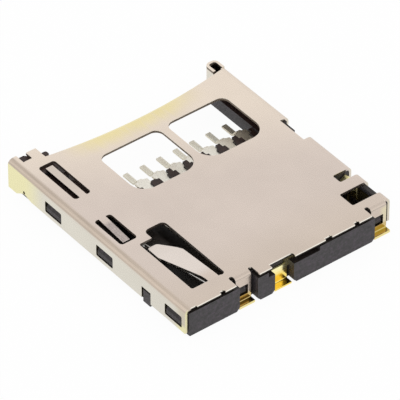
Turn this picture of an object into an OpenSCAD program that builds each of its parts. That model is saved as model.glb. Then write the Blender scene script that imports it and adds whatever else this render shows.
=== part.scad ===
// Push-push connector for a microSD card, soldered flat on a board.
// X runs across, Y the way the card goes in, Z up from the board.

/* [Cover] */
// Length from the front corners to the rear face
cover_l = 15.2; // [15:0.05:15.8]
// Height of the top face above the board
total_h = 1.8; // [1.75:0.05:2]
// Thickness of the sheet
cover_t = 0.15; // [0.12:0.01:0.17]
// Outer radius of the bends along both sides
side_bend_r = 0.32; // [0.28:0.01:0.4]
// Outer radius of the bends of the tabs and legs
tab_bend_r = 0.22; // [0.2:0.01:0.26]
// Gap between the side walls and the board
wall_lift = 0.23; // [0.15:0.01:0.3]

/* [Front edge] */
// Depth of the thumb cut-out behind the front corners, at its middle
thumb_depth = 1.45; // [1.2:0.05:1.8]
// How far the cut-out's arc comes forward at the card's edges
thumb_rise = 0.45; // [0.3:0.05:0.7]
// Width of the rolled ear at the plain front corner
ear_w = 0.755; // [0.7:0.005:0.85]
// Length of that ear
ear_l = 0.8; // [0.7:0.05:0.95]
// Width of the notch beside the other front corner
front_notch_w = 0.56; // [0.4:0.02:0.6]
// Depth of that notch
front_notch_l = 0.65; // [0.4:0.05:0.8]
// Length of the side wall that reaches the board as a front leg
front_leg_l = 0.7; // [0.5:0.1:1]

/* [Inspection windows] */
// Width of each window
window_w = 3.95; // [3.6:0.05:4.1]
// Length of each window
window_l = 3.72; // [3.2:0.02:3.8]
// Radius of the windows' front corners
window_r = 0.5; // [0.3:0.05:0.8]
// Radius of the windows' rear corners
window_rear_r = 0.95; // [0.5:0.05:1.1]
// Width of the bar between the windows
window_bar = 0.47; // [0.35:0.01:0.6]
// Distance from the front corners to the windows
window_front = 2.73; // [2.6:0.01:2.9]

/* [Springs of the cover] */
// Length of the leaf that holds the cam pin down
leaf_l = 4.15; // [3.9:0.05:4.3]
// Width of the leaf at its root
leaf_root_w = 0.67; // [0.55:0.01:0.75]
// Width of the leaf near its tip
leaf_tip_w = 1.4; // [1.2:0.05:1.45]
// Slope of the leaf's straight stretch, in degrees
leaf_slope = 4.5; // [3.5:0.1:4.8]
// Width of both small tongues
tongue_w = 0.44; // [0.36:0.02:0.5]
// Width of the slits around the tongues
slit_w = 0.31; // [0.25:0.01:0.34]
// Slope of the tongue that presses on the slider, in degrees
tongue_slope = 4.8; // [3:0.1:5]

/* [Card] */
// Width of the card
card_w = 11; // [10.9:0.05:11.1]
// Width of the shoulder that makes the card's leading part narrower
shoulder_w = 1.3; // [1.25:0.05:1.4]
// Length of that leading part
card_lead_l = 6.4; // [6.3:0.05:6.5]
// Height of the card's underside above the board
card_z = 0.75; // [0.7:0.01:0.8]
// Thickness of the card
card_t = 0.7; // [0.65:0.01:0.75]
// Play at each side of the card
card_play = 0.05; // [0.03:0.01:0.08]

/* [Housing] */
// Width of the guide wall at the card's straight side
guide_w = 0.72; // [0.66:0.01:0.78]
// Width of the bay for the slider, with its outer wall
bay_w = 1.62; // [1.6:0.01:1.75]
// Width of the ledge under the card's edge
ledge_w = 0.32; // [0.25:0.01:0.38]
// Thickness of the grid floor under the contacts
floor_t = 0.22; // [0.18:0.01:0.26]
// Thickness of the floor under the slider
bay_floor_t = 0.3; // [0.26:0.01:0.34]
// Thickness of the housing's outer walls
wall_t = 0.27; // [0.22:0.01:0.3]
// Thickness of the wall that the card stops at
stop_wall_t = 0.25; // [0.2:0.01:0.3]
// Depth of the rear blocks behind that wall
rear_block_l = 0.6; // [0.55:0.01:0.65]
// Chamfer of the rear blocks' lower corners
block_chamfer = 0.18; // [0.1:0.01:0.25]
// Drop of the rear blocks below the rest of the housing
block_drop = 0.1; // [0.04:0.01:0.12]
// Width of the side bosses that latch the cover
latch_w = 1.4; // [1.2:0.05:1.6]
// Height of those bosses' windows
latch_h = 0.72; // [0.6:0.02:0.8]

/* [Contacts] */
// Thickness of the contact strip
contact_t = 0.12; // [0.1:0.01:0.14]
// Width of the solder tails
tail_w = 0.3; // [0.24:0.02:0.36]
// Width of the contacts where the housing holds them
plate_w = 0.5; // [0.4:0.02:0.54]
// Width of the contacts' shoulders
wing_w = 0.8; // [0.7:0.02:0.86]
// Length of those shoulders
wing_l = 0.45; // [0.35:0.05:0.5]
// Width of the contacts at their tips
tip_w = 0.36; // [0.3:0.02:0.4]
// Height of the middle of the held stretch above the board
plate_z = 0.46; // [0.42:0.01:0.5]
// Length of the flat stretch of each tail
tail_l = 0.8; // [0.6:0.05:0.9]
// Slope of the sprung beams, in degrees
beam_slope = 7; // [6.4:0.1:7.4]
// Length of the sprung beams
beam_l = 4.3; // [4.1:0.05:4.5]
// Distance from the front corners to the bar that holds the contacts
bar_front = 5.4; // [5.3:0.05:5.6]
// Length of that bar
bar_l = 1.3; // [1.1:0.05:1.4]
// Length of the comb in front of the bar
comb_l = 0.8; // [0.7:0.05:0.9]

/* [Slider] */
// Travel from the ejected to the fully pushed position
slider_travel = 3.4; // [3.2:0.05:3.5]
// Depth of the track
track_depth = 0.34; // [0.3:0.01:0.36]

/* [Cam pin] */
// Diameter of the pin's wire
pin_d = 0.3; // [0.28:0.01:0.32]
// Distance between the pin's two legs
pin_l = 5.08; // [5:0.01:5.12]
// Angle of the pin to the slider's path, in degrees
pin_angle = 10.2; // [10:0.1:10.5]

/* [Eject spring] */
// Diameter of the spring's wire
spring_wire = 0.11; // [0.1:0.01:0.16]
// Outer diameter of the spring
spring_d = 0.9; // [0.8:0.01:0.9]
// Number of turns
spring_turns = 13; // [9:1:14]

/* [Card detect switch] */
// Thickness of the switch's strips
blade_t = 0.1; // [0.08:0.01:0.12]
// Height of the upright strips
blade_h = 0.42; // [0.35:0.01:0.45]
// Width of the terminal behind the housing
terminal_w = 1.1; // [1:0.05:1.15]
// Height of the terminal's top above the board
terminal_h = 1.08; // [1:0.02:1.12]

/* [Fits] */
// Gap between the cover and the housing
cover_fit = 0.055; // [0.03:0.005:0.06]
// Gap at each sliding face of the slider
slide_fit = 0.04; // [0.02:0.01:0.05]
// Gap around the strips that the housing holds
mould_fit = 0.01; // [0.005:0.005:0.02]
// Gap below the cover's leaf and its tongue
spring_gap = 0.035; // [0.03:0.005:0.05]
// Radial gap of the cam pin in its bore
pin_fit = 0.03; // [0.02:0.01:0.05]

/* [Hidden] */
$fn = 48;

// Outer and inner faces of the cover
cover_w = card_w + 2 * card_play + guide_w + bay_w + 2 * (cover_fit + cover_t);
x_r = cover_w / 2;
x_in = x_r - cover_t;
y_f = -cover_l / 2;
y_r = cover_l / 2;
z_in = total_h - cover_t;
z_sheet = total_h - cover_t / 2;
tab_mid_r = tab_bend_r - cover_t / 2;

// Half width and top of the housing
hx = x_in - cover_fit;
hz = z_in - 0.02;
block_top = hz - block_drop;
front_y = y_f + 0.05;
pocket_y = y_r - rear_block_l;
stop_y = pocket_y - stop_wall_t;

// The card's edges, and the faces beside it
card_x0 = -hx + guide_w + card_play;
card_x1 = card_x0 + card_w;
card_cx = card_x0 + card_w / 2;
lead_x1 = card_x1 - shoulder_w;
window_cx = (card_x0 + lead_x1) / 2;
card_top = card_z + card_t;
guide_x = card_x0 - card_play;
ledge_x0 = guide_x + ledge_w;
bay_x0 = card_x1 + card_play;
bay_x1 = hx - wall_t;
rib_x1 = lead_x1 + 0.05;
rib_x0 = rib_x1 - 0.25;
rail_y0 = y_f + ear_l + 0.1;
block_y1 = y_f + 1.9;

// Front corners of the cover
ear_y1 = y_f + ear_l;
ear_roll_r = 0.3;
ear_inset = 0.06;
thumb_r = (pow(card_w / 2, 2) + pow(thumb_rise, 2)) / (2 * thumb_rise);
front_tab_x0 = bay_x0 + 0.1;
front_tab_set = 0.1;
notch_x1 = x_r - 0.545;
notch_x0 = notch_x1 - front_notch_w;
leg_notch = [y_f + 1.39, 0.48, 0.09];
leg_slope_l = 0.62;

// Far edge of the cover, as start, length and depth of each cut
far_recess = [y_f + 6.2, 2, 0.575];
far_slots = [[y_r - 3.75, 0.65, 1.275], [y_r - 2.35, 1.1, 1.955]];
slot_r = 0.1;
housing_recesses = [
    [far_recess[0] + 0.12, 0.9, 0.13],
    [far_recess[0] + 0.95, far_recess[1] - 0.95, 0.42]
];

// Rear edge of the cover: tabs as middle and width, notches as middle, width and depth
rear_tabs = [[x_r - 4.005, 1], [-x_r + 0.915, 1.02]];
tab_slit = 0.25;
tab_window = [0.6, 0.62];
tab_window_z = 0.5;
tab_latch_l = 0.12;
foot_y = y_r - 0.04;
terminal_x0 = card_cx + 0.36;
terminal_x1 = terminal_x0 + terminal_w + 0.14;
rear_notches = [
    [card_cx - 3.8, 0.3, 0.16],
    [card_cx - 1.93, 0.44, 0.14],
    [(terminal_x0 + terminal_x1) / 2 + 0.07, terminal_x1 - terminal_x0 + 0.28, 0.28],
    [bay_x0 - 0.58, 0.3, 0.16]
];
corner_step = [0.725, 0.08];

// Middles of the side latches along Y, and the locator
near_latches = [y_f + 3.95, y_f + 8.36, y_r - 1.06];
far_latches = [y_f + 3.95, y_r - 5.4];
latch_z = 0.46;
latch_gap = 0.08;
latch_flush = 0.04;
latch_r = 0.08;
locator = [y_r - 3.32, 0.75];
locator_top = 0.98;

// Leaf, its opening, and the two tongues
pin_r = pin_d / 2;
pin_bend_r = 0.25;
spring_x = bay_x1 - spring_d / 2 - 0.08;
spring_z = bay_floor_t + spring_d / 2 + 0.13;
tall_x0 = spring_x - spring_d / 2 - 0.01;
pivot_y = y_r - 1;
tip_x = tall_x0 - 0.36;
tip_y = pivot_y - pin_l * cos(pin_angle);
pivot_x = tip_x - pin_l * sin(pin_angle);
leaf_x0 = pivot_x - pin_r * 2;
leaf_root_y = y_r - 1.18;
leaf_tip_y = leaf_root_y - leaf_l;
leaf_bend = 0.4;
leaf_flat = 0.9;
leaf_drop_1 = leaf_bend * tan(leaf_slope / 2);
leaf_drop_2 = leaf_drop_1 + (leaf_l - leaf_bend - leaf_flat) * tan(leaf_slope);
leaf_drop_3 = leaf_drop_2 + leaf_flat * tan(leaf_slope * 0.35);
pin_z = round(100 * (z_in - leaf_drop_3 - spring_gap - pin_r)) / 100;
track_top = pin_z - pin_r - 0.05;
tongue_bend_r = 3;
slit_end = 0.27;
front_tongue_x = bay_x0 + 0.45;
front_slit = [y_f + 1.5, y_f + 4.75];
slider_tongue_x = spring_x - 0.07;
slider_slit = [y_r - 8.45, y_r - 6.1];
tongue_l = slider_slit[1] - slider_slit[0] - slit_end;
tongue_run = tongue_l - tongue_bend_r * tongue_slope * PI / 180;
tongue_drop = tongue_bend_r * (1 - cos(tongue_slope)) + tongue_run * sin(tongue_slope);

// Contacts and the bar that holds them
contact_count = 8;
contact_pitch = card_w / 10;
row_x = window_cx - 0.1;
bar_y0 = y_f + bar_front;
bar_y1 = bar_y0 + bar_l;
bar_top = plate_z + contact_t / 2 + 0.12;
comb_y0 = bar_y0 - comb_l;
comb_gap = 0.02;
comb_top = bar_top - 0.02;
s_bend = 50;
s_bend_r = 0.2;
s_rise = plate_z - contact_t / 2;
s_run = (s_rise - 2 * s_bend_r * (1 - cos(s_bend))) / sin(s_bend);
s_length = 2 * s_bend_r * sin(s_bend) + s_run * cos(s_bend);
plate_y0 = comb_y0 - 0.22;
wing_y0 = plate_y0 + 0.05;
tail_y0 = plate_y0 - s_length - tail_l;
tip_bend_r = 0.5;
tip_drop = 38;
tip_l = 0.32;
beam_slot_w = plate_w + 0.16;
beam_slot_l = beam_l + 2;
first_slot_l = 0.75;

// Slider at rest: the card's shoulder meets its sloping nose
pushed_gap = 0.25;
slider_y0 = block_y1 + slide_fit;
slider_y1 = tip_y - 0.6;
slider_z0 = bay_floor_t + slide_fit;
slider_top = z_in - tongue_drop - spring_gap;
tall_x1 = bay_x1 - slide_fit;
arm_x0 = bay_x0 + slide_fit;
nose_x0 = lead_x1 + 0.11;
shoulder_y = stop_y - pushed_gap - card_lead_l - slider_travel;
tooth_hook = [0.29, 0.35];
boss_r = 0.22;
boss_l = 0.5;

// Heart-shaped track: way in, lock, way out
pin_swing = 3.4;
track_back_l = 1.8;
lane_r = pin_r + 0.04;
push_angle = pin_angle - pin_swing;
lane_out_x = nose_x0 + 0.2 + lane_r;
lane_start = [tip_x, tip_y];
lane_push = [
    pivot_x + pin_l * sin(push_angle),
    pivot_y - pin_l * cos(push_angle) - slider_travel
];
lane_lock = [(lane_push[0] + lane_out_x) / 2, lane_push[1] + 0.46];
lane_back = [lane_out_x, lane_push[1] + 0.1];
lane_turn = [lane_out_x, tip_y - track_back_l];
lane_join = [tip_x - 0.35, tip_y - 0.6];
track_path = [
    lane_start, lane_push, lane_lock, lane_back, lane_turn, lane_join, lane_start
];
track_y1 = tip_y + lane_r + 0.7;
track_x1 = tall_x0 - 0.06;
nose_y1 = lane_push[1] - lane_r - 0.15;
pin_foot_z = 0.45;
pin_tip_z = track_top - track_depth + 0.04;

// Eject spring, with one closed turn at each end
spring_y0 = slider_y1 + 0.01 + spring_wire / 2;
spring_y1 = pocket_y - 0.01 - spring_wire / 2;
spring_mid_r = (spring_d - spring_wire) / 2;
spring_steps = 16;
spring_sides = 8;
closed_pitch = spring_wire * 1.03;

// Card detect switch
pocket_z = bay_floor_t;
pocket_y0 = far_slots[0][0] - 0.05;
skin_w = 0.22;
low_block_l = 1.71;
low_block_x0 = terminal_x0 - low_block_l;
low_block_top = hz - 0.36;
blade_top = low_block_top + 0.03;
blade_z = blade_top - blade_h;
blade_y = stop_y - 0.15;
blade_bend_r = 0.12;
blade_x = low_block_x0 + 0.15;
terminal_y = pocket_y + 0.03 + blade_t / 2;
arm_x = card_x0 + 1.6;
arm_angle = 52;
arm_l = 1.7;
arm_curl_r = 0.1;
riser_x = -hx + 0.12;
riser_fold = 122;
riser_lip = 0.34;
contact_x = -hx + skin_w + 0.04 + blade_t / 2;
contact_z = 0.6;
contact_top = hz - 0.18;
contact_foot_x = -x_r + 0.03;
contact_y1 = blade_y - 0.3;

// Box between two corners
module box(a, b) {
    translate(a) cube(b - a);
}

// Rectangle between two corners, with rounded corners
module rounded_rect(a, b, r) {
    translate([a[0] + r, a[1]]) square([b[0] - a[0] - 2 * r, b[1] - a[1]]);
    translate([a[0], a[1] + r]) square([b[0] - a[0], b[1] - a[1] - 2 * r]);
    for (x = [a[0] + r, b[0] - r])
        for (y = [a[1] + r, b[1] - r])
            translate([x, y]) circle(r);
}

// Straight lane with round ends
module lane(p, q, r) {
    d = q - p;
    translate(p) circle(r);
    translate(q) circle(r);
    translate(p) rotate(atan2(d[1], d[0])) translate([0, -r]) square([norm(d), 2 * r]);
}

// Part of a ring of middle radius r, from angle a, through turn degrees
module arc_band(r, t, a, turn) {
    reach = 2 * (r + t);
    intersection() {
        difference() {
            circle(r + t / 2);
            circle(r - t / 2);
        }
        polygon([
            [0, 0],
            reach * [cos(a), sin(a)],
            reach * [cos(a + turn / 2), sin(a + turn / 2)],
            reach * [cos(a + turn), sin(a + turn)]
        ]);
    }
}

// Sheet metal seen on edge, from steps of [length, turn in degrees, middle radius]
module strip(steps, t, i = 0) {
    if (i < len(steps)) {
        run = steps[i][0];
        turn = steps[i][1];
        r = steps[i][2];
        side = sign(turn);
        translate([0, -t / 2]) square([run, t]);
        if (side == 0) {
            translate([run, 0]) strip(steps, t, i + 1);
        } else {
            translate([run, side * r]) {
                arc_band(r, t, -90 * side, turn);
                rotate(turn) translate([0, -side * r]) strip(steps, t, i + 1);
            }
        }
    }
}

// The same strip as wide as w along X, heading towards +Y or, with dir below 0, towards -Y
module bent_strip(steps, t, x, w, y, z, dir) {
    translate([x, y, z])
        mirror([0, dir < 0 ? 1 : 0, 0])
            rotate([90, 0, 90]) linear_extrude(w) strip(steps, t);
}

module wall_profile(x, z, r, z0) {
    translate([-x, z0]) square([2 * x, z - r - z0]);
    translate([r - x, z0]) square([2 * (x - r), z - z0]);
    for (side = [-1, 1])
        translate([side * (x - r), z - r]) circle(r);
}

module channel() {
    translate([0, y_r, 0]) rotate([90, 0, 0]) linear_extrude(cover_l) difference() {
        wall_profile(x_r, total_h, side_bend_r, 0);
        wall_profile(x_in, z_in, side_bend_r - cover_t, -1);
    }
}

// Everything that is punched out at the front edge
module front_cuts() {
    intersection() {
        translate([-x_r + side_bend_r, y_f - 1])
            square([front_tab_x0 + x_r - side_bend_r, thumb_depth + 1]);
        translate([card_cx, y_f + thumb_depth - thumb_r]) circle(thumb_r, $fn = 360);
    }
    translate([-x_r - 1, y_f - 1]) square([side_bend_r + 1, ear_l + 1]);
    translate([front_tab_x0, y_f - 1]) square([notch_x0 - front_tab_x0, 1 + front_tab_set]);
    translate([notch_x0, y_f - 1]) square([front_notch_w, 1 + front_notch_l]);
}

module window_cuts() {
    for (x = [window_cx - window_bar / 2 - window_w, window_cx + window_bar / 2])
        translate([x, y_f + window_front]) {
            rounded_rect([0, 0], [window_w, window_l - window_rear_r], window_r);
            rounded_rect([0, window_r], [window_w, window_l], window_rear_r);
        }
}

// Slit around a tongue, with the tongue left out where it stays in the sheet
module slit(x, ends, keep) {
    half = tongue_w / 2 + slit_w;
    difference() {
        rounded_rect([x - half, ends[0]], [x + half, ends[1]], slit_w * 0.6);
        if (keep)
            translate([x - tongue_w / 2, ends[0] + slit_end]) square([tongue_w, ends[1] - ends[0]]);
    }
}

module leaf_opening() {
    x0 = leaf_x0 - 0.4;
    x1 = leaf_x0 + leaf_tip_w + 0.32;
    rounded_rect([x0, leaf_tip_y - 0.27], [x1, leaf_root_y], 0.12);
    rounded_rect([x0, leaf_tip_y - 0.97], [leaf_x0 + 0.9, leaf_tip_y + 1], 0.3);
    lane([x0 + 0.18, leaf_root_y - 0.5], [x0 + 0.18, leaf_root_y - 0.14], 0.18);
}

module edge_cuts() {
    translate([-x_r - 1, far_recess[0]]) square([far_recess[2] + 1, far_recess[1]]);
    for (cut = far_slots)
        rounded_rect([-x_r - 1, cut[0]], [-x_r + cut[2], cut[0] + cut[1]], slot_r);
    for (notch = rear_notches)
        translate([notch[0] - notch[1] / 2, y_r - notch[2]]) square([notch[1], notch[2] + 1]);
    translate([x_r - corner_step[0], y_r - corner_step[1]]) square([corner_step[0] + 1, 1]);
    for (tab = rear_tabs) {
        half = tab[1] / 2 + tab_slit;
        translate([tab[0] - half, pocket_y]) square([2 * half, rear_block_l + 1]);
        translate([tab[0] + half - tab_slit / 2, pocket_y]) circle(tab_slit / 2);
    }
    translate([rear_tabs[0][0] - rear_tabs[0][1] / 2 - tab_slit / 2, pocket_y]) circle(tab_slit / 2);
    translate([-x_r - 1, pocket_y]) square([rear_tabs[1][0] + x_r + 1, rear_block_l + 1]);
}

// Window of a side latch, as a prism along X from x
module latch_window(x, y) {
    translate([x, 0, 0]) rotate([90, 0, 90]) linear_extrude(1) rounded_rect(
        [y - latch_w / 2, latch_z], [y + latch_w / 2, latch_z + latch_h], latch_r
    );
}

// Windows of the latches, the locator's notch, and the gap below the walls
module wall_cuts() {
    leg_y1 = y_f + front_leg_l;
    for (y = near_latches)
        latch_window(x_in - 0.1, y);
    for (y = far_latches)
        latch_window(-x_in - 0.9, y);
    translate([x_in - 0.1, locator[0] - locator[1] / 2, -1])
        cube([1, locator[1], locator_top + 1]);
    box([-x_r - 1, y_f - 1, -1], [-x_in + 0.1, y_r + 1, wall_lift]);
    translate([x_in - 0.1, 0, 0]) rotate([90, 0, 90]) linear_extrude(1) {
        polygon([
            [leg_y1, -1],
            [leg_y1, 0],
            [leg_notch[0] - leg_notch[2], leg_notch[1] - 0.12],
            [leg_notch[0] + leg_notch[2], leg_notch[1] - 0.09],
            [leg_notch[0] + leg_slope_l, wall_lift],
            [y_r + 1, wall_lift],
            [y_r + 1, -1]
        ]);
        translate([leg_notch[0], leg_notch[1]]) circle(leg_notch[2]);
    }
}

// Leaf that holds the cam pin in its track
module leaf() {
    x1 = leaf_x0 + leaf_root_w;
    x2 = leaf_x0 + leaf_tip_w;
    top = [
        [leaf_root_y + 0.15, total_h],
        [leaf_root_y, total_h],
        [leaf_root_y - leaf_bend, total_h - leaf_drop_1],
        [leaf_tip_y + leaf_flat, total_h - leaf_drop_2],
        [leaf_tip_y, total_h - leaf_drop_3]
    ];
    under = [for (i = [len(top) - 1 : -1 : 0]) top[i] - [0, cover_t]];
    intersection() {
        translate([leaf_x0 - 0.1, 0, 0]) rotate([90, 0, 90]) linear_extrude(leaf_tip_w + 0.3)
            polygon(concat(top, under));
        translate([0, 0, card_top - 0.2]) linear_extrude(1) polygon([
            [leaf_x0, leaf_root_y + 0.2],
            [leaf_x0, leaf_tip_y + 1.19],
            [leaf_x0 + 0.15, leaf_tip_y + 0.88],
            [leaf_x0 + 0.75, leaf_tip_y + 0.09],
            [leaf_x0 + 0.85, leaf_tip_y + 0.02],
            [x2 - 0.1, leaf_tip_y],
            [x2, leaf_tip_y + 0.1],
            [x2 + 0.02, leaf_tip_y + 0.94],
            [x1 + 0.03, leaf_root_y - 0.52],
            [x1, leaf_root_y - 0.22],
            [x1, leaf_root_y + 0.2]
        ]);
    }
}

// Tongue that presses on the slider
module slider_tongue() {
    steps = [[0.15, -tongue_slope, tongue_bend_r], [tongue_run, 0, 0]];
    x = slider_tongue_x - tongue_w / 2;
    bent_strip(steps, cover_t, x, tongue_w, slider_slit[0] - 0.15, z_sheet, 1);
}

// Tab that latches over the housing's rear face and ends in a solder foot
module rear_tab(x, w) {
    down = total_h - cover_t - 2 * tab_mid_r;
    foot = foot_y - pocket_y - 2 * tab_mid_r;
    steps = [[0.15, -90, tab_mid_r], [down, 90, tab_mid_r], [foot, 0, 0]];
    difference() {
        bent_strip(steps, cover_t, x - w / 2, w, pocket_y - 0.15, z_sheet, 1);
        translate([x - tab_window[0] / 2, pocket_y - 0.1, tab_window_z])
            cube([tab_window[0], 0.5, tab_window[1]]);
    }
}

// Ear: the side wall rolled round the front corner and back, down to the board
module ear() {
    r = ear_roll_r - cover_t / 2;
    side_l = ear_l - ear_roll_r;
    front = ear_w - 2 * ear_roll_r;
    translate([-x_r + ear_inset + cover_t / 2, ear_y1, 0]) linear_extrude(total_h)
        rotate(-90) strip([[side_l, 90, r], [front, 90, r], [side_l, 0, 0]], cover_t);
    box(
        [-x_r + ear_inset, ear_y1 - 0.1, wall_lift],
        [-x_in + ear_inset, ear_y1 + 0.1, total_h - side_bend_r]
    );
}

module cover() {
    color([0.83, 0.79, 0.74]) union() {
        difference() {
            channel();
            translate([0, 0, -1]) linear_extrude(total_h + 2) {
                front_cuts();
                window_cuts();
                slit(front_tongue_x, front_slit, true);
                slit(slider_tongue_x, slider_slit, false);
                leaf_opening();
                edge_cuts();
            }
            wall_cuts();
        }
        leaf();
        slider_tongue();
        for (tab = rear_tabs)
            rear_tab(tab[0], tab[1]);
        ear();
    }
}

// Boss with a sloping top that the cover snaps over, from a face at x
module side_latch(y, side) {
    d = x_r - latch_flush - hx + 0.1;
    z0 = latch_z + latch_gap;
    h = latch_h - 2 * latch_gap;
    w = latch_w - 2 * latch_gap;
    mirror([side < 0 ? 1 : 0, 0, 0])
        translate([hx - 0.1, y + w / 2, z0]) rotate([90, 0, 0]) linear_extrude(w)
            polygon([[0, 0], [d, 0], [d, h * 0.45], [0.1, h], [0, h]]);
}

module rear_latch(x) {
    w = tab_window[0] - 2 * latch_gap;
    h = tab_window[1] - 2 * latch_gap;
    d = tab_latch_l + 0.1;
    translate([x - w / 2, pocket_y - 0.1, tab_window_z + latch_gap])
        rotate([90, 0, 90]) linear_extrude(w)
            polygon([[0, 0], [d, 0], [d, h * 0.45], [0.1, h], [0, h]]);
}

// Block behind the rear wall, with chamfered lower corners and its top from x1 back to x0
module rear_block(x0, x1, c1, top) {
    c0 = block_chamfer;
    translate([0, y_r, 0]) rotate([90, 0, 0]) linear_extrude(rear_block_l + 0.1)
        polygon(concat([[x0, c0], [x0 + c0, 0], [x1 - c1, 0], [x1, c1]], top));
}

module rear_blocks() {
    far_x = rear_tabs[1][0] + rear_tabs[1][1] / 2 + 0.05;
    tab_half = rear_tabs[0][1] / 2;
    mid_x1 = rear_tabs[0][0] - tab_half - 0.16;
    mid_notch = [0.42, 0.3];
    rear_block(far_x, terminal_x0, block_chamfer, [
        [terminal_x0, low_block_top],
        [low_block_x0, low_block_top],
        [low_block_x0, block_top],
        [far_x, block_top]
    ]);
    rear_block(terminal_x1, mid_x1, block_chamfer, [
        [mid_x1, block_top],
        [terminal_x1 + mid_notch[0], block_top],
        [terminal_x1 + mid_notch[0], block_top - mid_notch[1]],
        [terminal_x1, block_top - mid_notch[1]]
    ]);
    side_x0 = rear_tabs[0][0] + tab_half + 0.03;
    rear_block(side_x0, hx, 0.06, [[hx, block_top], [side_x0, block_top]]);
}

// Comb that keeps the contacts apart in front of the bar
module comb() {
    box([-hx, comb_y0, 0], [rib_x1, bar_y0 + 0.1, s_rise - mould_fit]);
    for (i = [2 : contact_count]) {
        x = row_x + (contact_count / 2 - i) * contact_pitch;
        w = (contact_pitch - plate_w) / 2 - comb_gap;
        nose_w = (contact_pitch - wing_w) / 2 - comb_gap;
        nose_y0 = comb_y0 + (i == 2 ? 0.25 : 0);
        box([x - nose_w, nose_y0, 0], [x + nose_w, bar_y0 + 0.1, comb_top]);
        box([x - w, wing_y0 + wing_l + comb_gap, 0], [x + w, bar_y0 + 0.1, comb_top]);
    }
}

module housing_body() {
    box([-hx, rail_y0, 0], [guide_x, pocket_y, hz]);
    box([-hx, rail_y0, 0], [ledge_x0, pocket_y, card_z]);
    box([-hx, bar_y0, 0], [rib_x1, bar_y1, bar_top]);
    box([-hx, bar_y1 - 0.1, 0], [rib_x1, pocket_y, floor_t]);
    comb();
    box([rib_x0, bar_y0, 0], [rib_x1, pivot_y - 0.4, card_z - 0.05]);
    box([rib_x0, front_y, 0], [hx, pocket_y, bay_floor_t]);
    box([bay_x1, block_y1 - 0.1, 0], [hx, pocket_y, hz]);
    box([bay_x0, front_y, 0], [hx, block_y1, hz]);
    box([bay_x0 - ledge_w, front_y, 0], [bay_x0 + 0.1, block_y1, card_z]);
    translate([0, 0, card_top + 0.02]) linear_extrude(hz - card_top - 0.02)
        rounded_rect([bay_x0 - ledge_w, front_y + 0.4], [bay_x0 + 0.2, front_y + 0.75], 0.12);
    box([rib_x0, pivot_y - 0.4, 0], [pivot_x + 0.8, pocket_y, track_top]);
    box([-hx, stop_y, 0], [rib_x0 + 0.1, pocket_y, hz]);
    box([spring_x - 0.45, pocket_y - 0.1, 0], [hx, pocket_y + 0.1, hz]);
    rear_blocks();
    for (y = near_latches)
        side_latch(y, 1);
    for (y = far_latches)
        side_latch(y, -1);
    for (tab = rear_tabs)
        rear_latch(tab[0]);
    box(
        [hx - 0.1, locator[0] - locator[1] / 2 + latch_gap, 0],
        [x_r - latch_flush, locator[0] + locator[1] / 2 - latch_gap, locator_top - 0.18]
    );
}

module housing() {
    blade_x1 = contact_x + blade_t / 2 + mould_fit;
    slot_y0 = far_slots[0][0];
    slot_y1 = slot_y0 + far_slots[0][1];
    slot_z = contact_z - mould_fit;
    color([0.24, 0.23, 0.24]) difference() {
        housing_body();
        for (i = [1 : contact_count]) {
            x = contact_at(i);
            box(
                [x - plate_w / 2 - mould_fit, bar_y0 - 1, s_rise - mould_fit],
                [x + plate_w / 2 + mould_fit, bar_y1 + 1, s_rise + contact_t + mould_fit]
            );
            slot_l = i == 1 ? first_slot_l : beam_slot_l;
            box([x - beam_slot_w / 2, bar_y1, -1], [x + beam_slot_w / 2, bar_y1 + slot_l, hz]);
        }
        // Pocket of the switch, and the slots where its strips come out
        box([blade_x1, pocket_y0, pocket_z], [card_x0 + 1, stop_y, hz + 1]);
        box([blade_x1 - blade_t - 2 * mould_fit, pocket_y0, slot_z], [blade_x1 + 0.1, stop_y, hz + 1]);
        box([-hx - 1, slot_y0, slot_z], [blade_x1, slot_y1, hz + 1]);
        box([-hx - 1, slot_y0, -1], [riser_x + blade_t / 2 + mould_fit, slot_y1, hz + 1]);
        box(
            [blade_x - blade_t / 2 - mould_fit, stop_y - 1, blade_z - mould_fit],
            [blade_x + blade_t / 2 + mould_fit, terminal_y, hz + 1]
        );
        box(
            [blade_x - blade_t / 2 - mould_fit, pocket_y, blade_z - mould_fit],
            [terminal_x0 + 1, terminal_y + blade_t / 2 + mould_fit, hz + 1]
        );
        // Recess beside the cover's far recess
        for (cut = housing_recesses)
            box([-hx - 1, cut[0], -1], [-hx + cut[2], cut[0] + cut[1], hz + 1]);
        translate([pivot_x, pivot_y, pin_foot_z - 0.05]) cylinder(h = 1, r = pin_r + pin_fit);
        translate([(notch_x0 + front_tab_x0) / 2 + 0.3, front_y, 0])
            rotate(45) translate([-0.1, -0.1, -1]) cube([0.2, 0.2, hz + 2]);
    }
}

function contact_at(i) = row_x + ((contact_count + 1) / 2 - i) * contact_pitch;

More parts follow.
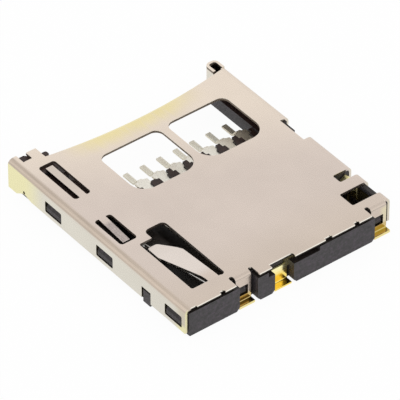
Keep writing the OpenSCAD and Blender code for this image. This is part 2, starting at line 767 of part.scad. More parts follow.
// Contact number i: solder tail, held plate, and sprung beam with its bump
module contact(i) {
    steps = [
        [tail_l, s_bend, s_bend_r],
        [s_run, -s_bend, s_bend_r],
        [bar_y1 - plate_y0, beam_slope, tip_bend_r],
        [beam_l, -beam_slope - tip_drop, tip_bend_r],
        [tip_l, 0, 0]
    ];
    x = contact_at(i);
    y2 = bar_y1 + beam_l + 1.2;
    color([0.86, 0.84, 0.74]) intersection() {
        bent_strip(steps, contact_t, x - wing_w, 2 * wing_w, tail_y0, contact_t / 2, 1);
        translate([x, 0, -1]) linear_extrude(2 * total_h) polygon([
            [-tail_w / 2, tail_y0 - 1],
            [-tail_w / 2, wing_y0 - 0.08],
            [-wing_w / 2, wing_y0],
            [-wing_w / 2, wing_y0 + wing_l - 0.05],
            [-plate_w / 2, wing_y0 + wing_l],
            [-plate_w / 2, bar_y1],
            [-tip_w / 2, y2],
            [tip_w / 2, y2],
            [plate_w / 2, bar_y1],
            [plate_w / 2, wing_y0 + wing_l],
            [wing_w / 2, wing_y0 + wing_l - 0.05],
            [wing_w / 2, wing_y0],
            [tail_w / 2, wing_y0 - 0.08],
            [tail_w / 2, tail_y0 - 1]
        ]);
    }
}

module contact_1() { contact(1); }
module contact_2() { contact(2); }
module contact_3() { contact(3); }
module contact_4() { contact(4); }
module contact_5() { contact(5); }
module contact_6() { contact(6); }
module contact_7() { contact(7); }
module contact_8() { contact(8); }

function nose_face(x) = shoulder_y - (x - lead_x1);

module slider() {
    color([0.27, 0.26, 0.27]) difference() {
        union() {
            box([tall_x0, slider_y0, slider_z0], [tall_x1, slider_y1, slider_top]);
            box([arm_x0, slider_y0, slider_z0], [tall_x1, nose_y1, slider_top]);
            box([nose_x0, nose_y1, slider_z0], [tall_x0, slider_y1, track_top]);
            box([nose_x0, slider_y1 - 0.1, slider_z0], [track_x1, track_y1, track_top]);
            translate([0, 0, slider_z0]) linear_extrude(slider_top - slider_z0) polygon([
                [nose_x0, nose_face(nose_x0)],
                [arm_x0, nose_face(arm_x0)],
                [arm_x0 + 0.1, nose_face(arm_x0)],
                [arm_x0 + 0.1, nose_y1],
                [nose_x0, nose_y1]
            ]);
            translate([arm_x0, slider_y0 + 0.25, card_z + 0.05])
                linear_extrude(slider_top - card_z - 0.05) polygon([
                    [0, 0],
                    [-tooth_hook[0], 0.12],
                    [-tooth_hook[0], tooth_hook[1]],
                    [0, tooth_hook[1] + 0.05],
                    [0.1, 0]
                ]);
            translate([spring_x, slider_y1 - 0.1, spring_z])
                rotate([-90, 0, 0]) cylinder(h = boss_l + 0.1, r = boss_r);
        }
        translate([0, 0, track_top - track_depth]) linear_extrude(1)
            for (i = [0 : len(track_path) - 2])
                lane(track_path[i], track_path[i + 1], lane_r);
    }
}

module cam_pin() {
    run = pin_l - 2 * pin_bend_r;
    color([0.86, 0.86, 0.86]) translate([pivot_x, pivot_y, 0]) rotate(pin_angle - 90) union() {
        translate([0, 0, pin_foot_z]) cylinder(h = pin_z - pin_bend_r - pin_foot_z, r = pin_r);
        translate([pin_bend_r, 0, pin_z - pin_bend_r]) rotate([90, 0, 0]) rotate(90)
            rotate_extrude(angle = 90) translate([pin_bend_r, 0]) circle(pin_r);
        translate([pin_bend_r, 0, pin_z]) rotate([0, 90, 0]) cylinder(h = run, r = pin_r);
        translate([pin_l - pin_bend_r, 0, pin_z - pin_bend_r]) rotate([90, 0, 0])
            rotate_extrude(angle = 90) translate([pin_bend_r, 0]) circle(pin_r);
        translate([pin_l, 0, pin_tip_z]) cylinder(h = pin_z - pin_bend_r - pin_tip_z, r = pin_r);
    }
}

// How far along the spring a point is, u turns from its start
function spring_at(u) =
    u < 1 ? closed_pitch * u
    : u > spring_turns - 1 ? spring_y1 - spring_y0 - closed_pitch * (spring_turns - u)
    : closed_pitch + (spring_y1 - spring_y0 - 2 * closed_pitch) * (u - 1) / (spring_turns - 2);

function spring_point(u, side) =
    let (
        a = 360 * u,
        b = 360 * side / spring_sides,
        r = spring_mid_r + spring_wire / 2 * cos(b)
    )
    [
        spring_x + r * cos(a),
        spring_y0 + spring_at(u) + spring_wire / 2 * sin(b),
        spring_z + r * sin(a)
    ];

module eject_spring() {
    rings = spring_turns * spring_steps + 1;
    n = spring_sides;
    points = [for (i = [0 : rings - 1]) for (j = [0 : n - 1]) spring_point(i / spring_steps, j)];
    walls = [
        for (i = [0 : rings - 2]) for (j = [0 : n - 1])
            let (a = i * n + j, b = i * n + (j + 1) % n)
            each [[a, b, b + n], [a, b + n, a + n]]
    ];
    caps = [
        [for (j = [0 : n - 1]) n - 1 - j],
        [for (j = [0 : n - 1]) (rings - 1) * n + j]
    ];
    color([0.8, 0.8, 0.82]) polyhedron(points, concat(walls, caps));
}

// Sprung strip of the switch, from its terminal to the arm that the card pushes
module detect_spring() {
    x1 = terminal_x0 + 0.25;
    r = blade_bend_r;
    steps = [
        [x1 - blade_x - r, 90, r],
        [terminal_y - blade_y - 2 * r, -90, r],
        [blade_x - r - arm_x, arm_angle, 0.3],
        [arm_l, -100, arm_curl_r],
        [0.04, 0, 0]
    ];
    plate = [
        [foot_y - terminal_y - r, 90, r],
        [terminal_h - r - blade_t / 2, 0, 0]
    ];
    color([0.86, 0.74, 0.42]) union() {
        translate([x1, terminal_y, blade_z]) rotate(180) linear_extrude(blade_h) strip(steps, blade_t);
        bent_strip(plate, blade_t, terminal_x0 + 0.11, terminal_w, foot_y, blade_t / 2, -1);
    }
}

// Fixed strip of the switch, with its solder foot and a lip folded over the housing's edge
module detect_contact() {
    y0 = far_slots[0][0] + mould_fit;
    w = far_slots[0][1] - 2 * mould_fit;
    r = blade_bend_r;
    steps = [
        [riser_x - contact_foot_x - r, 90, r],
        [contact_top - 2 * r - blade_t, -riser_fold, r],
        [riser_lip, 0, 0]
    ];
    color([0.86, 0.74, 0.42]) union() {
        translate([contact_foot_x, y0 + w, blade_t / 2])
            rotate([90, 0, 0]) linear_extrude(w) strip(steps, blade_t);
        box(
            [contact_x - blade_t / 2, y0, contact_z],
            [contact_x + blade_t / 2, contact_y1, contact_top - blade_t]
        );
    }
}

cover();
housing();
contact_1();
contact_2();
contact_3();
contact_4();
contact_5();
contact_6();
contact_7();
contact_8();
slider();
eject_spring();
cam_pin();
detect_spring();
detect_contact();
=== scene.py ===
import math

import bpy
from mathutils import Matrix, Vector


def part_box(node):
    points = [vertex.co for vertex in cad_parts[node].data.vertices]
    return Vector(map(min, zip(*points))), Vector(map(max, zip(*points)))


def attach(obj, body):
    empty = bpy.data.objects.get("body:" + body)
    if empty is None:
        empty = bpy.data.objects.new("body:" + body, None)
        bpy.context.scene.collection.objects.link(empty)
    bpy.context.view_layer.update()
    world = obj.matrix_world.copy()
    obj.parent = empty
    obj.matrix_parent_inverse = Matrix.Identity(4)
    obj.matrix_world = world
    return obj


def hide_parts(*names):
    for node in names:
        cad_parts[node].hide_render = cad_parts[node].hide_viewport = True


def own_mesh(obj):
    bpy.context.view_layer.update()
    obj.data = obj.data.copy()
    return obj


mm = 0.001

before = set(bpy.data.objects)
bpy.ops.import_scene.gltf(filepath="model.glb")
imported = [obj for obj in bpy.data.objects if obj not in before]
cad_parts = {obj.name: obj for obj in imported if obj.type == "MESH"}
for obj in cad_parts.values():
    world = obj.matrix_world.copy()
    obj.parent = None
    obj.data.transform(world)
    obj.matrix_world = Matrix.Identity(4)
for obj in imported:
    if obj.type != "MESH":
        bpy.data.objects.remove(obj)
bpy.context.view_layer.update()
print("frame loaded:", len(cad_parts), "nodes")


# camera above the slider's rear corner, with a long lens as on a copy stand
view = {
    "azimuth": 142.06,        # degrees round from the front, towards the rear
    "elevation": 40.14,
    "distance": 261.2 * mm,
    "target": (-0.045 * mm, -0.185 * mm, 0.385 * mm),
    "lens": 450.0,
    "sensor": 36.0,
    "clip": (1 * mm, 10.0),
}


def buildCamera(s):
    data = bpy.data.cameras.new("camera")
    data.lens = s["lens"]
    data.sensor_width = s["sensor"]
    data.clip_start, data.clip_end = s["clip"]
    camera = bpy.data.objects.new("camera", data)
    bpy.context.collection.objects.link(camera)
    a = math.radians(s["azimuth"] - 90)
    e = math.radians(s["elevation"])
    toCamera = Vector((math.cos(a) * math.cos(e), math.sin(a) * math.cos(e), math.sin(e)))
    camera.location = Vector(s["target"]) + toCamera * s["distance"]
    camera.rotation_euler = toCamera.to_track_quat("Z", "Y").to_euler()
    bpy.context.scene.camera = camera


buildCamera(view)
print("camera placed")


# small helpers for node trees; nodes are laid out in rows
nodeGrid = {
    "start": (-1800, 600),
    "columns": 9,
    "step": (230, 300),
}

usualNoise = (0.3, 0.7)       # noise keeps mostly between these two


def plug(tree, socket, value):
    if isinstance(value, bpy.types.NodeSocket):
        tree.links.new(value, socket)
    else:
        socket.default_value = value


def addNode(tree, kind, **settings):
    node = tree.nodes.new(kind)
    row, column = divmod(len(tree.nodes), nodeGrid["columns"])
    left, top = nodeGrid["start"]
    across, down = nodeGrid["step"]
    node.location = (left + column * across, top - row * down)
    for name, value in settings.items():
        setattr(node, name, value)
    return node


def number(tree, operation, *values, clamp=False):
    node = addNode(tree, "ShaderNodeMath", operation=operation, use_clamp=clamp)
    for socket, value in zip(node.inputs, values):
        plug(tree, socket, value)
    return node.outputs[0]


def vector(tree, operation, *values):
    node = addNode(tree, "ShaderNodeVectorMath", operation=operation)
    for socket, value in zip(node.inputs, values):
        plug(tree, socket, value)
    return node.outputs[0]


def length(tree, value):
    node = addNode(tree, "ShaderNodeVectorMath", operation="LENGTH")
    plug(tree, node.inputs[0], value)
    return node.outputs["Value"]


# a colour or a place times a value
def scaled(tree, value, amount):
    node = addNode(tree, "ShaderNodeVectorMath", operation="SCALE")
    plug(tree, node.inputs[0], value)
    plug(tree, node.inputs["Scale"], amount)
    return node.outputs[0]


def split(tree, value):
    node = addNode(tree, "ShaderNodeSeparateXYZ")
    plug(tree, node.inputs[0], value)
    return node.outputs[0], node.outputs[1], node.outputs[2]


def unsigned(tree, value):
    return number(tree, "ABSOLUTE", value)


# 0 below low, 1 above high, smooth between
def rise(tree, value, low, high):
    node = addNode(tree, "ShaderNodeMapRange", interpolation_type="SMOOTHSTEP")
    plug(tree, node.inputs["Value"], value)
    plug(tree, node.inputs["From Min"], low)
    plug(tree, node.inputs["From Max"], high)
    return node.outputs["Result"]


def inverse(tree, mask):
    return number(tree, "SUBTRACT", 1.0, mask)


# 1 below low, 0 above high
def fall(tree, value, low, high):
    return inverse(tree, rise(tree, value, low, high))


# 1 from the end of the first stretch to the start of the second
def between(tree, value, up, down):
    return both(tree, rise(tree, value, *up), fall(tree, value, *down))


# straight change of a value from one span to another
def span(tree, value, low, high, toLow, toHigh):
    node = addNode(tree, "ShaderNodeMapRange")
    for name, v in (("Value", value), ("From Min", low), ("From Max", high),
                    ("To Min", toLow), ("To Max", toHigh)):
        plug(tree, node.inputs[name], v)
    return node.outputs["Result"]


def vary(tree, noise, low, high):
    return span(tree, noise, *usualNoise, low, high)


def both(tree, *masks):
    result = masks[0]
    for mask in masks[1:]:
        result = number(tree, "MULTIPLY", result, mask)
    return result


def either(tree, *masks):
    result = masks[0]
    for mask in masks[1:]:
        result = number(tree, "MAXIMUM", result, mask)
    return result


def tint(tree, below, above, mask):
    node = addNode(tree, "ShaderNodeMix", data_type="RGBA")
    plug(tree, node.inputs["Factor"], mask)
    for socket, colour in ((node.inputs[6], below), (node.inputs[7], above)):
        plug(tree, socket, colour if isinstance(colour, bpy.types.NodeSocket) else (*colour, 1))
    return node.outputs[2]


def newGroup(name, inputs, outputs):
    tree = bpy.data.node_groups.new(name, "ShaderNodeTree")
    kinds = {"f": "NodeSocketFloat", "v": "NodeSocketVector"}
    for label, kind, value in inputs:
        socket = tree.interface.new_socket(label, in_out="INPUT", socket_type=kinds[kind])
        socket.default_value = value
    for label, kind in outputs:
        tree.interface.new_socket(label, in_out="OUTPUT", socket_type=kinds[kind])
    start = addNode(tree, "NodeGroupInput")
    end = addNode(tree, "NodeGroupOutput")
    return tree, start.outputs, end.inputs


def useGroup(tree, group, **values):
    node = addNode(tree, "ShaderNodeGroup", node_tree=group)
    for name, value in values.items():
        plug(tree, node.inputs[name], value)
    return node.outputs


# what the shared effects have in common wherever they are used
effectLook = {
    "grainRoughness": 0.62,
    "spotsFrom": (0.6, 0.72),          # noise above this shows as a spot
    "lineDetail": 4.0,
    "lineRoughness": 0.7,
    "deepFrom": (0.58, 0.7),           # and above this as a deep line
    "markPull": (1, 0.012, 1),
    "markFrom": (0.73, 0.8),
    "patchScale": 0.7,
    "patchTop": 0.9,
    "edgeSamples": 6,
    "edgeFrom": (0.01, 0.16),          # how far the rounded normal leans from the true one
    "pinFlatten": (1, 1, 0.02),
    "pinDisc": (0.93, 1.0),            # shares of the pin mark's radius
    "pinRim": ((0.86, 0.97), (1.0, 1.1)),
    "pinDepth": 0.6,
}


# where a point of the part is, in millimetres, and which way its surface faces
def buildPlaceGroup():
    tree, _, end = newGroup("placeInMillimetres", [], [("Place", "v"), ("Facing", "v")])
    coord = addNode(tree, "ShaderNodeTexCoord")
    plug(tree, end["Place"], scaled(tree, coord.outputs["Object"], 1 / mm))
    plug(tree, end["Facing"], coord.outputs["Normal"])
    return tree


# 1 inside a box, fading over a short way at its faces
def buildZoneGroup():
    tree, start, end = newGroup(
        "zone",
        [("Place", "v", (0, 0, 0)), ("Low", "v", (0, 0, 0)), ("High", "v", (1, 1, 1)), ("Fade", "f", 0.05)],
        [("Mask", "f")],
    )
    sharp = number(tree, "DIVIDE", 1.0, start["Fade"])
    parts = []
    for a, b in ((start["Place"], start["Low"]), (start["High"], start["Place"])):
        gap = scaled(tree, vector(tree, "SUBTRACT", a, b), sharp)
        moved = vector(tree, "ADD", gap, (0.5, 0.5, 0.5))
        capped = vector(tree, "MINIMUM", moved, (1, 1, 1))
        parts.append(vector(tree, "MAXIMUM", capped, (0, 0, 0)))
    inside = split(tree, vector(tree, "MULTIPLY", *parts))
    plug(tree, end["Mask"], both(tree, *inside))
    return tree


# even grain of pressed metal and moulded plastic
def buildGrainGroup(s):
    tree, start, end = newGroup(
        "fineGrain",
        [("Place", "v", (0, 0, 0)), ("Size", "f", 0.1), ("Layers", "f", 3.0)],
        [("Grain", "f"), ("Spots", "f")],
    )
    noise = addNode(tree, "ShaderNodeTexNoise")
    plug(tree, noise.inputs["Vector"], start["Place"])
    plug(tree, noise.inputs["Scale"], number(tree, "DIVIDE", 1.0, start["Size"]))
    plug(tree, noise.inputs["Detail"], start["Layers"])
    noise.inputs["Roughness"].default_value = s["grainRoughness"]
    plug(tree, end["Grain"], noise.outputs["Fac"])
    plug(tree, end["Spots"], rise(tree, noise.outputs["Fac"], *s["spotsFrom"]))
    return tree


# lines left by rolling, drawing or brushing: noise pulled long in one direction
def buildLinesGroup(s):
    tree, start, end = newGroup(
        "drawnLines",
        [("Place", "v", (0, 0, 0)), ("Across", "v", (1, 0.05, 1)), ("Width", "f", 0.05)],
        [("Lines", "f"), ("Deep", "f")],
    )
    noise = addNode(tree, "ShaderNodeTexNoise")
    plug(tree, noise.inputs["Vector"], vector(tree, "MULTIPLY", start["Place"], start["Across"]))
    plug(tree, noise.inputs["Scale"], number(tree, "DIVIDE", 1.0, start["Width"]))
    noise.inputs["Detail"].default_value = s["lineDetail"]
    noise.inputs["Roughness"].default_value = s["lineRoughness"]
    plug(tree, end["Lines"], noise.outputs["Fac"])
    plug(tree, end["Deep"], rise(tree, noise.outputs["Fac"], *s["deepFrom"]))
    return tree


# light handling marks: short thin lines at one angle, in patches
def buildScratchGroup(s):
    tree, start, end = newGroup(
        "scratches",
        [("Place", "v", (0, 0, 0)), ("Turn", "f", 0.6), ("Width", "f", 0.02), ("Amount", "f", 0.5)],
        [("Mask", "f")],
    )
    turned = addNode(tree, "ShaderNodeVectorRotate", rotation_type="Z_AXIS")
    plug(tree, turned.inputs["Vector"], start["Place"])
    plug(tree, turned.inputs["Angle"], start["Turn"])
    lines = addNode(tree, "ShaderNodeTexNoise")
    plug(tree, lines.inputs["Vector"], vector(tree, "MULTIPLY", turned.outputs[0], s["markPull"]))
    plug(tree, lines.inputs["Scale"], number(tree, "DIVIDE", 1.0, start["Width"]))
    lines.inputs["Detail"].default_value = 0.0
    patch = addNode(tree, "ShaderNodeTexNoise")
    plug(tree, patch.inputs["Vector"], start["Place"])
    patch.inputs["Scale"].default_value = s["patchScale"]
    thin = rise(tree, lines.outputs["Fac"], *s["markFrom"])
    some = rise(tree, patch.outputs["Fac"], inverse(tree, start["Amount"]), s["patchTop"])
    plug(tree, end["Mask"], both(tree, thin, some))
    return tree


# edges and corners: a painted highlight where a rounded edge would catch the light, and wear, where plating
# rubs bright and plastic wears smooth
def buildEdgeGroup(s):
    tree, start, end = newGroup("glintAndWearEdge", [("Radius", "f", 0.02), ("Reach", "f", 0.6)], [("Mask", "f")])
    rounded = addNode(tree, "ShaderNodeBevel", samples=s["edgeSamples"])
    plug(tree, rounded.inputs["Radius"], number(tree, "MULTIPLY", start["Radius"], mm))
    geometry = addNode(tree, "ShaderNodeNewGeometry")
    alike = addNode(tree, "ShaderNodeVectorMath", operation="DOT_PRODUCT")
    plug(tree, alike.inputs[0], rounded.outputs["Normal"])
    plug(tree, alike.inputs[1], geometry.outputs["Normal"])
    bent = rise(tree, inverse(tree, alike.outputs["Value"]), *s["edgeFrom"])
    plug(tree, end["Mask"], number(tree, "MULTIPLY", bent, start["Reach"], clamp=True))
    return tree


# round mark that an ejector pin of the mould leaves
def buildPinMarkGroup(s):
    tree, start, end = newGroup(
        "pinMark",
        [("Place", "v", (0, 0, 0)), ("Centre", "v", (0, 0, 0)), ("Radius", "f", 0.4)],
        [("Height", "f"), ("Disc", "f")],
    )
    offset = vector(tree, "SUBTRACT", start["Place"], start["Centre"])
    away = length(tree, vector(tree, "MULTIPLY", offset, s["pinFlatten"]))
    share = number(tree, "DIVIDE", away, start["Radius"])
    disc = fall(tree, share, *s["pinDisc"])
    rim = between(tree, share, *s["pinRim"])
    dip = number(tree, "MULTIPLY", disc, s["pinDepth"])
    plug(tree, end["Height"], number(tree, "SUBTRACT", rim, dip))
    plug(tree, end["Disc"], disc)
    return tree


placeGroup = buildPlaceGroup()
zoneGroup = buildZoneGroup()
grainGroup = buildGrainGroup(effectLook)
linesGroup = buildLinesGroup(effectLook)
scratchGroup = buildScratchGroup(effectLook)
edgeGroup = buildEdgeGroup(effectLook)
pinMarkGroup = buildPinMarkGroup(effectLook)
print("shared effects built")


def newMaterial(name):
    material = bpy.data.materials.new(name)
    material.use_nodes = True
    tree = material.node_tree
    place = useGroup(tree, placeGroup)
    return material, tree, tree.nodes["Principled BSDF"], place["Place"], place["Facing"]


def zone(tree, place, box, fade):
    low, high = box
    return useGroup(tree, zoneGroup, Place=place, Low=low, High=high, Fade=fade)["Mask"]


def grainOf(tree, place, settings):
    return useGroup(tree, grainGroup, Place=place, **settings)["Grain"]


def linesOf(tree, place, settings):
    return useGroup(tree, linesGroup, Place=place, **settings)["Lines"]


def marksOf(tree, place, settings):
    return useGroup(tree, scratchGroup, Place=place, **settings)["Mask"]


def glintAndWearOf(tree, settings):
    return useGroup(tree, edgeGroup, **settings)["Mask"]


def addBump(tree, shader, height, depth, strength):
    bump = addNode(tree, "ShaderNodeBump")
    bump.inputs["Strength"].default_value = strength
    bump.inputs["Distance"].default_value = depth * mm
    plug(tree, bump.inputs["Height"], height)
    plug(tree, shader.inputs["Normal"], bump.outputs[0])


def paint(names, material):
    for name in names:
        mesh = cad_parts[name].data
        mesh.materials.clear()
        mesh.materials.append(material)


# cover: nickel-plated sheet with a warm cast, yellow where the strip was cut at the mouth
# places are in mm; a pair of numbers is where an effect starts and where it is full
coverLook = {
    "top": (0.672, 0.578, 0.515),
    # painted light and shade: the plate paler towards the mouth, darker towards the rear
    "mouthTop": (0.80, 0.695, 0.59),     # the plate is paler towards the mouth
    "rearTop": (0.625, 0.53, 0.45),
    # painted reflection: the walls paler and greener than the top, mirroring the white table
    "wall": (0.725, 0.688, 0.60),
    # painted shade on the bends between the top and the walls
    "bend": (0.555, 0.465, 0.385),
    # painted reflection: the leaf lighter than the plate
    "leaf": (0.73, 0.655, 0.60),
    # painted shade on the bent-down tongues
    "sliderTongueShade": (0.47, 0.405, 0.375),
    "frontTongueShade": (0.64, 0.56, 0.49),
    "arcYellow": (0.83, 0.72, 0.40),
    # painted highlight right at the cut edge of the arc
    "arcEdge": (0.87, 0.79, 0.52),
    "wallYellow": (0.85, 0.80, 0.47),
    "wallRear": (0.61, 0.54, 0.41),
    # painted highlight: a glint on the walls' cut ends, yellow on the near side
    "wallEndGlint": (0.70, 0.65, 0.54),
    "foot": (0.66, 0.49, 0.18),
    # painted reflections on the soles of the feet, dark on the near foot and bright on the far one, and a
    # painted highlight on their tips
    "nearSoleReflection": (0.13, 0.085, 0.02),
    "farSoleReflection": (0.60, 0.48, 0.11),
    "toeHighlight": (0.86, 0.74, 0.34),
    # burnished band of cut edges, brightened as a painted highlight
    "burnishAndHighlight": (0.94, 0.89, 0.79),
    "scuff": (0.80, 0.73, 0.65),
    # the torn band's own duller colour, darkened as painted shade; near black at the rear edge, lighter in
    # the windows
    "fractureInShade": (0.10, 0.075, 0.058),
    "rearFractureShade": (0.022, 0.016, 0.012),
    "windowFractureLit": (0.24, 0.19, 0.145),
    # painted shade on the underside of the sheet, and a painted shadow in the hollow of the ear
    "inside": (0.55, 0.47, 0.41),
    "earShadow": (0.06, 0.04, 0.028),

    # flat sheet
    "sheetTop": 1.8,
    "sheetThickness": 0.15,
    "mouthFade": (-6.6, 0.5),
    "mouthSlant": 0.35,
    "rearFade": (3.5, 8.5),
    "nearHalf": (0, 1),
    "softEdge": 0.02,

    # walls and bends; facing is the share of the normal that points that way
    "wallFacing": (0.93, 1.0),
    "wallTop": (1.35, 1.5),
    "wallTopShare": 0.85,
    "bendFrom": (6.5, 6.62),
    "bendHeight": (1.3, 1.5),
    "bendFacing": (0.0, 0.2),
    "bendTopShare": 0.5,
    "farBendShare": 0.25,
    # painted light on the bends: lighter towards the rear, a darker stripe of painted shade, a painted
    # highlight on the crest
    "bendRear": (0.5, 3.5),
    "bendRearLight": 1.08,
    "lineFacing": ((0.04, 0.15), (0.3, 0.55)),
    "lineTone": 0.99,
    "ridgeFacing": ((0.45, 0.6), (0.75, 0.85)),
    "ridgeHighlight": 1.08,
    "nearWallFacing": (0.9, 1.0),
    "nearWallFrom": (6.0, 6.2),
    "frontYellow": (-6.3, -4.2),
    "wallRearFrom": (6.5, 7.3),
    "wallRearShare": 0.8,
    "wallLow": (0.5, 0.8),

    # leaf and tongues: lowest and highest corners
    "leafBox": ((3.7, 2.1, 1.0), (5.45, 6.5, 1.78)),
    "leafBelow": (1.72, 1.79),
    "leafOpening": ((3.5, 2.0, 1.0), (5.6, 6.6, 1.9)),
    "leafSideFacing": (0.3, 0.6),
    "leafSideFrom": (4.3, 4.5),
    "leafSideShare": 0.6,
    "sliderTongueBox": ((5.56, -0.8, 1.0), (6.12, 1.42, 1.77)),
    "frontTongueBox": ((5.3, -6.0, 1.0), (5.8, -2.9, 1.85)),
    "frontTongueFade": (-4.0, -2.8),

    # thumb cut-out
    "arcCentre": (-0.45, -39.986),
    "arcRadius": 33.836,
    "arcStart": (-0.04, -0.01),
    "arcLength": ((-5.2, -1.8), (1.8, 4.7)),
    "arcFade": (0.1, 1.4),
    "arcRagged": 0.14,
    "arcLines": {"Across": (1, 0.04, 0.04), "Width": 0.3},
    "streakFade": (0.3, 0.9),
    "streakShare": 0.4,
    "lipFade": (0.03, 0.12),
    "lipShare": 0.7,

    # rear tabs, their solder feet and the ear at the far front corner
    "squareFacing": (0.5, 0.9),
    "footFrom": (6.85, 6.95),
    "footHeight": (0.42, 0.72),
    "footSide": (6.6, 6.7),
    "footShare": 0.9,
    "soleHeight": (0.16, 0.2),
    "soleEnd": (7.38, 7.5),
    "toeFrom": (7.4, 7.5),
    "tabFrom": (6.8, 6.9),
    "tabHeight": ((0.45, 0.7), (1.45, 1.7)),
    "tabSide": (-6.35, -6.0),
    "tabShare": 0.45,
    "underFacing": (-0.9, -0.5),
    "underFrom": (1.0, 1.2),
    "earBox": ((-6.85, -7.5, 0.2), (-6.33, -6.95, 1.66)),
    "earFade": 0.04,
    "earFacing": (0.6, 0.9),

    # stamped edges; the torn band is given in shares of the sheet's thickness
    "cutFacing": (0.25, 0.45),
    "cutFrom": (1.643, 1.652),
    "tornFrom": (0.3, 0.4),
    "tornWave": 0.05,
    "tornRear": (6.5, 6.8),
    "tornShift": (0.2, -0.15),
    "tornMetal": 0.6,
    "windowRear": (-1.0, -0.8),
    "windowSide": (3.3, 3.5),
    "rearEdgeFrom": (6.7, 6.85),
    # painted glint on the walls' cut ends
    "wallEndFacing": (0.7, 0.9),
    "wallEndFrom": (6.7, 6.78),
    "wallEndShare": 0.8,

    # plating
    "clouds": {"Size": 2.6, "Layers": 2.0},
    "cloudTone": (0.97, 1.025),
    "grain": {"Size": 0.07, "Layers": 4.0},
    "grainTone": (0.99, 1.008),
    "rolling": {"Across": (1, 0.03, 1), "Width": 0.05},
    "rollTone": (0.88, 1.1),
    "rollOnBend": 0.8,
    "brushing": {"Across": (1, 0.35, 1), "Width": 0.045},
    "brushTone": (0.62, 1.38),
    "marks": {"Turn": 0.7, "Width": 0.02, "Amount": 0.62},
    "crossMarks": {"Turn": -0.35, "Width": 0.018, "Amount": 0.55},
    "markShare": 0.3,
    "edgeGlintAndWear": {"Radius": 0.02, "Reach": 0.4},
    "roughness": 0.27,
    "grainRough": (-0.03, 0.04),
    "tongueRough": 0.12,
    "footSmooth": 0.12,
    "tornRough": 0.35,
    "rollHeight": 0.5,
    "markDepth": 0.8,
    "bump": (0.0005, 0.7),               # height in mm, then strength
}


